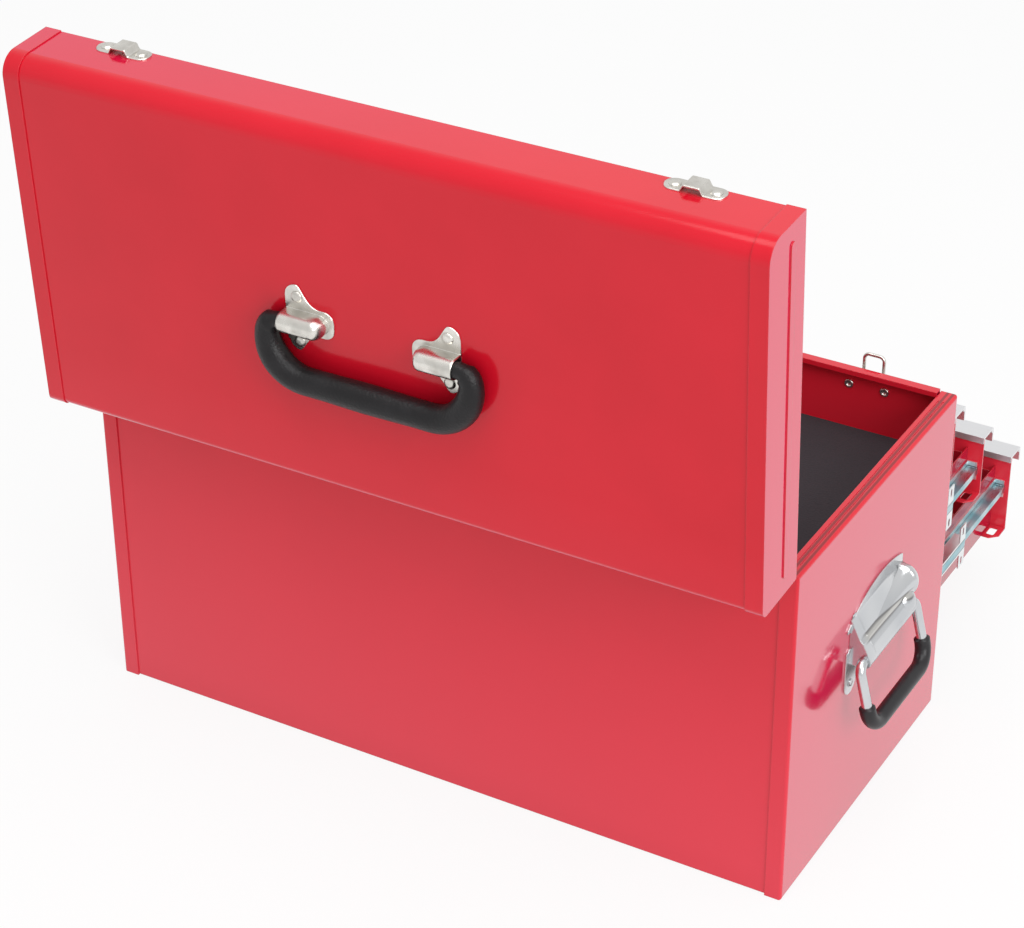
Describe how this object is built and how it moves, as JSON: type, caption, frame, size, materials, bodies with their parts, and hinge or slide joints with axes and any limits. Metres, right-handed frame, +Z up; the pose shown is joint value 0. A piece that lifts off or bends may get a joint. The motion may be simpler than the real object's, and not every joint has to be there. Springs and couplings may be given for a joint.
{
  "type": "portable tool chest",
  "caption": "Portable steel tool chest with a hinged lid, a top tray, drawers on ball bearing slides, draw latches and folding handles.",
  "frame": {"origin": "centre of the cabinet's base, on the surface it stands on", "axes": "+X along the width, the drawers open towards -Y, +Z up"},
  "size_m": [0.5784, 0.5089, 0.5117],
  "materials": {
    "paint": "gloss",
    "nickel": "satin",
    "zinc": "zinc plated",
    "aluminium": "satin",
    "grip": "fine grain",
    "mat": "matt"
  },
  "bodies": {
    "cabinet": {"side_panel_left": "paint", "side_panel_right": "paint", "back_panel": "paint", "base_panel": "paint", "front_top_wall": "paint", "tray_floor": "paint", "tray_mat": "mat", "slide_posts_left": "zinc", "slide_posts_right": "zinc", "hinge_body_leaf": "paint", "hinge_pin": "zinc", "side_bracket_left": "zinc", "side_bracket_right": "zinc", "side_bracket_rivets": "zinc", "latch_bases": "nickel", "latch_rivets": "nickel", "latch_pins": "nickel", "slide_outer_1": "zinc", "slide_outer_2": "zinc", "slide_outer_3": "zinc"},
    "lid": {"hinge_lid_leaf": "paint", "lid_shell": "paint", "lid_end_left": "paint", "lid_end_right": "paint", "lid_strikes": "nickel", "strike_rivets": "nickel", "carry_brackets": "nickel", "carry_bracket_rivets": "nickel"},
    "carry_handle": {"carry_handle": "grip"},
    "bail_left": {"side_bail_left": "zinc", "side_grip_left": "grip"},
    "bail_right": {"side_bail_right": "zinc", "side_grip_right": "grip"},
    "lever_left": {"latch_lever_left": "nickel"},
    "lever_right": {"latch_lever_right": "nickel"},
    "loop_left": {"latch_loop_left": "nickel"},
    "loop_right": {"latch_loop_right": "nickel"},
    "drawer_1": {"drawer_1_box": "paint", "drawer_1_front": "paint", "drawer_1_pull": "aluminium", "slide_inner_1": "zinc"},
    "middle_1": {"slide_mid_1": "zinc"},
    "outer_cage_1": {"outer_cage_1": "zinc"},
    "inner_cage_1": {"inner_cage_1": "zinc"},
    "drawer_2": {"drawer_2_box": "paint", "drawer_2_front": "paint", "drawer_2_pull": "aluminium", "slide_inner_2": "zinc"},
    "middle_2": {"slide_mid_2": "zinc"},
    "outer_cage_2": {"outer_cage_2": "zinc"},
    "inner_cage_2": {"inner_cage_2": "zinc"},
    "drawer_3": {"drawer_3_box": "paint", "drawer_3_front": "paint", "drawer_3_pull": "aluminium", "slide_inner_3": "zinc"},
    "middle_3": {"slide_mid_3": "zinc"},
    "outer_cage_3": {"outer_cage_3": "zinc"},
    "inner_cage_3": {"inner_cage_3": "zinc"}
  },
  "joints": [
    {"name": "lid_hinge", "type": "hinge", "parent": "cabinet", "child": "lid", "pos_m": [0, 0.1293, 0.2517], "axis": [1, 0, 0], "range_deg": [0, 93.2]},
    {"name": "carry_handle_swing", "type": "hinge", "parent": "lid", "child": "carry_handle", "pos_m": [0, 0.19065, 0.37276], "axis": [1, 0, 0], "range_deg": [0, 168]},
    {"name": "side_handle_left", "type": "hinge", "parent": "cabinet", "child": "bail_left", "pos_m": [-0.2725, 0, 0.139], "axis": [0, 1, 0], "range_deg": [0, 80]},
    {"name": "side_handle_right", "type": "hinge", "parent": "cabinet", "child": "bail_right", "pos_m": [0.2725, 0, 0.139], "axis": [0, -1, 0], "range_deg": [0, 80]},
    {"name": "latch_lever_left", "type": "hinge", "parent": "cabinet", "child": "lever_left", "pos_m": [-0.197, -0.1295, 0.237], "axis": [-1, 0, 0], "range_deg": [0, 90]},
    {"name": "latch_lever_right", "type": "hinge", "parent": "cabinet", "child": "lever_right", "pos_m": [0.197, -0.1295, 0.237], "axis": [-1, 0, 0], "range_deg": [0, 90]},
    {"name": "latch_loop_left", "type": "hinge", "parent": "lever_left", "child": "loop_left", "pos_m": [-0.197, -0.134, 0.229], "axis": [-1, 0, 0], "range_deg": [-90, 0]},
    {"name": "latch_loop_right", "type": "hinge", "parent": "lever_right", "child": "loop_right", "pos_m": [0.197, -0.134, 0.229], "axis": [-1, 0, 0], "range_deg": [-90, 0]},
    {"name": "drawer_1", "type": "slide", "parent": "cabinet", "child": "drawer_1", "axis": [0, -1, 0], "range_m": [-0.0348, 0.1502]},
    {"name": "drawer_2", "type": "slide", "parent": "cabinet", "child": "drawer_2", "axis": [0, -1, 0], "range_m": [-0.0975, 0.0875]},
    {"name": "drawer_3", "type": "slide", "parent": "cabinet", "child": "drawer_3", "axis": [0, -1, 0], "range_m": [-0.1611, 0.0239]},
    {"name": "slide_middle_1", "type": "slide", "parent": "cabinet", "child": "middle_1", "axis": [0, -1, 0], "range_m": [-0.01741, 0.07511]},
    {"name": "slide_outer_cage_1", "type": "slide", "parent": "cabinet", "child": "outer_cage_1", "axis": [0, -1, 0], "range_m": [-0.00871, 0.03756]},
    {"name": "slide_inner_cage_1", "type": "slide", "parent": "cabinet", "child": "inner_cage_1", "axis": [0, -1, 0], "range_m": [-0.02611, 0.11266]},
    {"name": "slide_middle_2", "type": "slide", "parent": "cabinet", "child": "middle_2", "axis": [0, -1, 0], "range_m": [-0.04876, 0.04376]},
    {"name": "slide_outer_cage_2", "type": "slide", "parent": "cabinet", "child": "outer_cage_2", "axis": [0, -1, 0], "range_m": [-0.02439, 0.02189]},
    {"name": "slide_inner_cage_2", "type": "slide", "parent": "cabinet", "child": "inner_cage_2", "axis": [0, -1, 0], "range_m": [-0.07314, 0.06563]},
    {"name": "slide_middle_3", "type": "slide", "parent": "cabinet", "child": "middle_3", "axis": [0, -1, 0], "range_m": [-0.08056, 0.01196]},
    {"name": "slide_outer_cage_3", "type": "slide", "parent": "cabinet", "child": "outer_cage_3", "axis": [0, -1, 0], "range_m": [-0.04029, 0.00598]},
    {"name": "slide_inner_cage_3", "type": "slide", "parent": "cabinet", "child": "inner_cage_3", "axis": [0, -1, 0], "range_m": [-0.12083, 0.01793]}
  ],
  "couplings": [
    {"joint": "latch_loop_left", "follows": "latch_lever_left", "ratio": -1},
    {"joint": "latch_loop_right", "follows": "latch_lever_right", "ratio": -1},
    {"joint": "slide_middle_1", "follows": "drawer_1", "ratio": 0.5},
    {"joint": "slide_outer_cage_1", "follows": "drawer_1", "ratio": 0.25},
    {"joint": "slide_inner_cage_1", "follows": "drawer_1", "ratio": 0.75},
    {"joint": "slide_middle_2", "follows": "drawer_2", "ratio": 0.5},
    {"joint": "slide_outer_cage_2", "follows": "drawer_2", "ratio": 0.25},
    {"joint": "slide_inner_cage_2", "follows": "drawer_2", "ratio": 0.75},
    {"joint": "slide_middle_3", "follows": "drawer_3", "ratio": 0.5},
    {"joint": "slide_outer_cage_3", "follows": "drawer_3", "ratio": 0.25},
    {"joint": "slide_inner_cage_3", "follows": "drawer_3", "ratio": 0.75}
  ]
}
